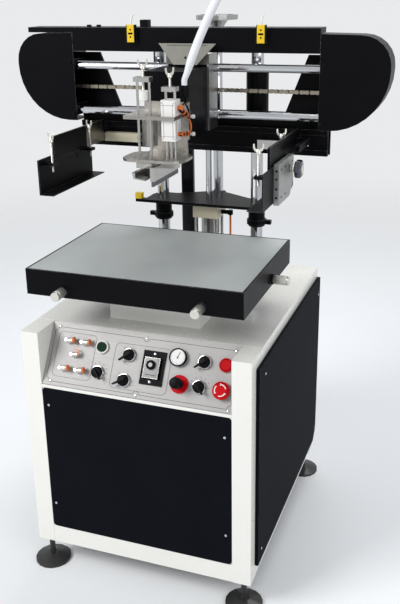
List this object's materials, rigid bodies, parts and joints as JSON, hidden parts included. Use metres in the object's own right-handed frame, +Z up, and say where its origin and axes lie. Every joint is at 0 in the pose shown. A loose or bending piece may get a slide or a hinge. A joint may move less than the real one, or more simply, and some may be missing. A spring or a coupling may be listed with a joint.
{
  "type": "screen printing press",
  "caption": "Floor-standing flat-bed screen printer: cabinet with sloping console, adjustable bed, lifting head on columns, chain-driven squeegee carriage, frame arms.",
  "frame": {"origin": "on the floor under the middle of the press, hose left out", "axes": "+Z up, the console and the bed's front face -Y, +X to the operator's right"},
  "size_m": [0.96, 0.7024, 1.4743],
  "materials": {
    "white_enamel": "gloss white enamel",
    "black_enamel": "satin black enamel",
    "black_plastic": "satin",
    "panel_silver": "printed satin panel",
    "bed_steel": "ground",
    "chrome": "polished",
    "zinc": "zinc plated",
    "aluminium": "machined",
    "beige_enamel": "beige enamel",
    "chain_steel": "oiled",
    "hose_white": "white sleeve",
    "red_plastic": "gloss",
    "green_plastic": "gloss"
  },
  "bodies": {
    "stand": {"cabinet_frame": "white_enamel", "front_panel": "black_enamel", "left_side_panel": "black_enamel", "right_side_panel": "black_enamel", "rear_panel": "black_enamel", "control_panel": "panel_silver", "left_guide_column": "chrome", "right_guide_column": "chrome"},
    "screw": {"height_screw": "chrome", "handwheel": "aluminium"},
    "lift_stage": {"lift_plate": "black_enamel", "lift_cylinder": "beige_enamel"},
    "head": {"head_back_plate": "black_enamel", "top_beam": "black_enamel", "lower_beam": "black_enamel", "left_end_cover": "black_enamel", "right_end_cover": "black_enamel", "upper_guide_rod": "chrome", "lower_guide_rod": "chrome", "piston_rod": "chrome", "drive_chain": "chain_steel", "drive_motor": "black_enamel"},
    "left_sprocket_body": {"left_sprocket": "chain_steel"},
    "right_sprocket_body": {"right_sprocket": "chain_steel"},
    "carriage": {"carriage_block": "aluminium", "print_unit_frame": "aluminium", "flood_cylinder": "zinc", "squeegee_cylinder": "hose_white", "air_hose": "hose_white", "hose_hanger": "black_plastic"},
    "flood_tool": {"flood_bar": "zinc"},
    "squeegee_tool": {"squeegee_holder": "zinc"},
    "flood_stop": {"flood_stop_screw": "zinc"},
    "squeegee_stop": {"squeegee_stop_screw": "zinc"},
    "bed_y": {"lower_stage": "zinc"},
    "bed_x": {"upper_stage": "zinc"},
    "bed": {"bed_tray": "black_enamel", "bed_plate": "bed_steel"},
    "adjuster_left": {"left_front_adjuster": "zinc"},
    "adjuster_right": {"right_front_adjuster": "zinc"},
    "adjuster_side": {"side_adjuster": "zinc"},
    "green_button_body": {"green_button": "green_plastic"},
    "red_button_body": {"red_button": "red_plastic"},
    "emergency_stop_body": {"emergency_stop": "red_plastic"},
    "left_selector_body": {"left_selector": "black_plastic"},
    "middle_selector_body": {"middle_selector": "black_plastic"},
    "right_selector_body": {"right_selector": "black_plastic"},
    "left_dial_knob_body": {"left_dial_knob": "black_plastic"},
    "right_dial_knob_body": {"right_dial_knob": "black_plastic"},
    "regulator_knob_body": {"regulator_knob": "black_plastic"},
    "left_arm": {"left_frame_arm": "black_enamel", "left_frame_channel": "black_enamel"},
    "left_arm_knob_body": {"left_arm_knob": "chrome"},
    "left_front_wing_body": {"left_front_wing_screw": "zinc"},
    "left_rear_wing_body": {"left_rear_wing_screw": "zinc"},
    "right_arm": {"right_frame_arm": "black_enamel", "right_frame_channel": "black_enamel"},
    "right_arm_knob_body": {"right_arm_knob": "chrome"},
    "right_front_wing_body": {"right_front_wing_screw": "zinc"},
    "right_rear_wing_body": {"right_rear_wing_screw": "zinc"}
  },
  "joints": [
    {"name": "handwheel_turn", "type": "hinge", "parent": "stand", "child": "screw", "pos_m": [0, 0.29375, 1.316], "axis": [0, 0, 1], "range_deg": [-1080, 1080]},
    {"name": "stage_height", "type": "slide", "parent": "stand", "child": "lift_stage", "axis": [0, 0, 1], "range_m": [-0.012, 0.012]},
    {"name": "head_lift", "type": "slide", "parent": "lift_stage", "child": "head", "axis": [0, 0, 1], "range_m": [-0.12, 0]},
    {"name": "carriage_travel", "type": "slide", "parent": "head", "child": "carriage", "axis": [1, 0, 0], "range_m": [-0.1524, 0.1524]},
    {"name": "left_sprocket_turn", "type": "hinge", "parent": "head", "child": "left_sprocket_body", "pos_m": [-0.4064, 0.13775, 1.21], "axis": [0, 1, 0], "range_deg": [-144.01, 144.01]},
    {"name": "right_sprocket_turn", "type": "hinge", "parent": "head", "child": "right_sprocket_body", "pos_m": [0.4064, 0.13775, 1.21], "axis": [0, 1, 0], "range_deg": [-144.01, 144.01]},
    {"name": "flood_stroke", "type": "slide", "parent": "carriage", "child": "flood_tool", "axis": [0, 0, 1], "range_m": [-0.015, 0]},
    {"name": "squeegee_stroke", "type": "slide", "parent": "carriage", "child": "squeegee_tool", "axis": [0, 0, 1], "range_m": [-0.015, 0]},
    {"name": "flood_stop_turn", "type": "hinge", "parent": "flood_tool", "child": "flood_stop", "pos_m": [-0.027, -0.13625, 1.226], "axis": [0, 0, 1], "range_deg": [-360, 360]},
    {"name": "squeegee_stop_turn", "type": "hinge", "parent": "squeegee_tool", "child": "squeegee_stop", "pos_m": [0.0345, -0.13125, 1.206], "axis": [0, 0, 1], "range_deg": [-360, 360]},
    {"name": "bed_shift_y", "type": "slide", "parent": "stand", "child": "bed_y", "axis": [0, 1, 0], "range_m": [-0.005, 0.005]},
    {"name": "bed_shift_x", "type": "slide", "parent": "bed_y", "child": "bed_x", "axis": [1, 0, 0], "range_m": [-0.005, 0.005]},
    {"name": "bed_turn", "type": "hinge", "parent": "bed_x", "child": "bed", "pos_m": [0, -0.09625, 0.7139], "axis": [0, 0, 1], "range_deg": [-1.74, 1.74]},
    {"name": "left_adjuster_turn", "type": "hinge", "parent": "bed", "child": "adjuster_left", "pos_m": [-0.164, -0.32125, 0.752], "axis": [0, -1, 0], "range_deg": [-1440, 1440]},
    {"name": "right_adjuster_turn", "type": "hinge", "parent": "bed", "child": "adjuster_right", "pos_m": [0.164, -0.32125, 0.752], "axis": [0, -1, 0], "range_deg": [-1440, 1440]},
    {"name": "side_adjuster_turn", "type": "hinge", "parent": "bed", "child": "adjuster_side", "pos_m": [0.27, -0.09325, 0.752], "axis": [1, 0, 0], "range_deg": [-1440, 1440]},
    {"name": "green_button_press", "type": "slide", "parent": "stand", "child": "green_button_body", "axis": [0, 0.8515, -0.5243], "range_m": [0, 0.0025], "stiffness_N_per_m": 600, "springref_m": -0.001},
    {"name": "red_button_press", "type": "slide", "parent": "stand", "child": "red_button_body", "axis": [0, 0.8515, -0.5243], "range_m": [0, 0.0025], "stiffness_N_per_m": 600, "springref_m": -0.001},
    {"name": "emergency_stop_press", "type": "slide", "parent": "stand", "child": "emergency_stop_body", "axis": [0, 0.8515, -0.5243], "range_m": [0, 0.004], "stiffness_N_per_m": 900, "springref_m": -0.001},
    {"name": "left_selector_turn", "type": "hinge", "parent": "stand", "child": "left_selector_body", "pos_m": [-0.026, -0.27051, 0.59678], "axis": [0, -0.8515, 0.5243], "range_deg": [-90, 0]},
    {"name": "middle_selector_turn", "type": "hinge", "parent": "stand", "child": "middle_selector_body", "pos_m": [-0.029, -0.30145, 0.54654], "axis": [0, -0.8515, 0.5243], "range_deg": [-90, 0]},
    {"name": "right_selector_turn", "type": "hinge", "parent": "stand", "child": "right_selector_body", "pos_m": [0.156, -0.26632, 0.60359], "axis": [0, -0.8515, 0.5243], "range_deg": [-90, 0]},
    {"name": "left_dial_knob_turn", "type": "hinge", "parent": "stand", "child": "left_dial_knob_body", "pos_m": [-0.097, -0.29673, 0.5542], "axis": [0, -0.8515, 0.5243], "range_deg": [-150, 90]},
    {"name": "right_dial_knob_turn", "type": "hinge", "parent": "stand", "child": "right_dial_knob_body", "pos_m": [0.152, -0.29568, 0.55591], "axis": [0, -0.8515, 0.5243], "range_deg": [-150, 90]},
    {"name": "regulator_turn", "type": "hinge", "parent": "stand", "child": "regulator_knob_body", "pos_m": [0.105, -0.29594, 0.55548], "axis": [0, -0.8515, 0.5243], "range_deg": [-720, 720]},
    {"name": "left_arm_slide", "type": "slide", "parent": "head", "child": "left_arm", "axis": [-1, 0, 0], "range_m": [0, 0.05]},
    {"name": "left_arm_knob_turn", "type": "hinge", "parent": "left_arm", "child": "left_arm_knob_body", "pos_m": [-0.2905, -0.02125, 0.998], "axis": [1, 0, 0], "range_deg": [-720, 720]},
    {"name": "left_front_wing_turn", "type": "hinge", "parent": "left_arm", "child": "left_front_wing_body", "pos_m": [-0.248, -0.17225, 1.062], "axis": [0, 0, 1], "range_deg": [-720, 720]},
    {"name": "left_rear_wing_turn", "type": "hinge", "parent": "left_arm", "child": "left_rear_wing_body", "pos_m": [-0.248, 0.01975, 1.062], "axis": [0, 0, 1], "range_deg": [-720, 720]},
    {"name": "right_arm_slide", "type": "slide", "parent": "head", "child": "right_arm", "axis": [1, 0, 0], "range_m": [0, 0.05]},
    {"name": "right_arm_knob_turn", "type": "hinge", "parent": "right_arm", "child": "right_arm_knob_body", "pos_m": [0.2905, -0.02125, 0.998], "axis": [1, 0, 0], "range_deg": [-720, 720]},
    {"name": "right_front_wing_turn", "type": "hinge", "parent": "right_arm", "child": "right_front_wing_body", "pos_m": [0.248, -0.17225, 1.062], "axis": [0, 0, 1], "range_deg": [-720, 720]},
    {"name": "right_rear_wing_turn", "type": "hinge", "parent": "right_arm", "child": "right_rear_wing_body", "pos_m": [0.248, 0.01975, 1.062], "axis": [0, 0, 1], "range_deg": [-720, 720]}
  ],
  "couplings": [
    {"joint": "handwheel_turn", "follows": "stage_height", "rad_per_m": 1570.8},
    {"joint": "left_sprocket_turn", "follows": "carriage_travel", "rad_per_m": -16.491},
    {"joint": "right_sprocket_turn", "follows": "carriage_travel", "rad_per_m": -16.491},
    {"joint": "left_adjuster_turn", "follows": "bed_shift_y", "rad_per_m": 5026.5},
    {"joint": "right_adjuster_turn", "follows": "bed_turn", "ratio": 824.35},
    {"joint": "side_adjuster_turn", "follows": "bed_shift_x", "rad_per_m": 5026.5}
  ]
}
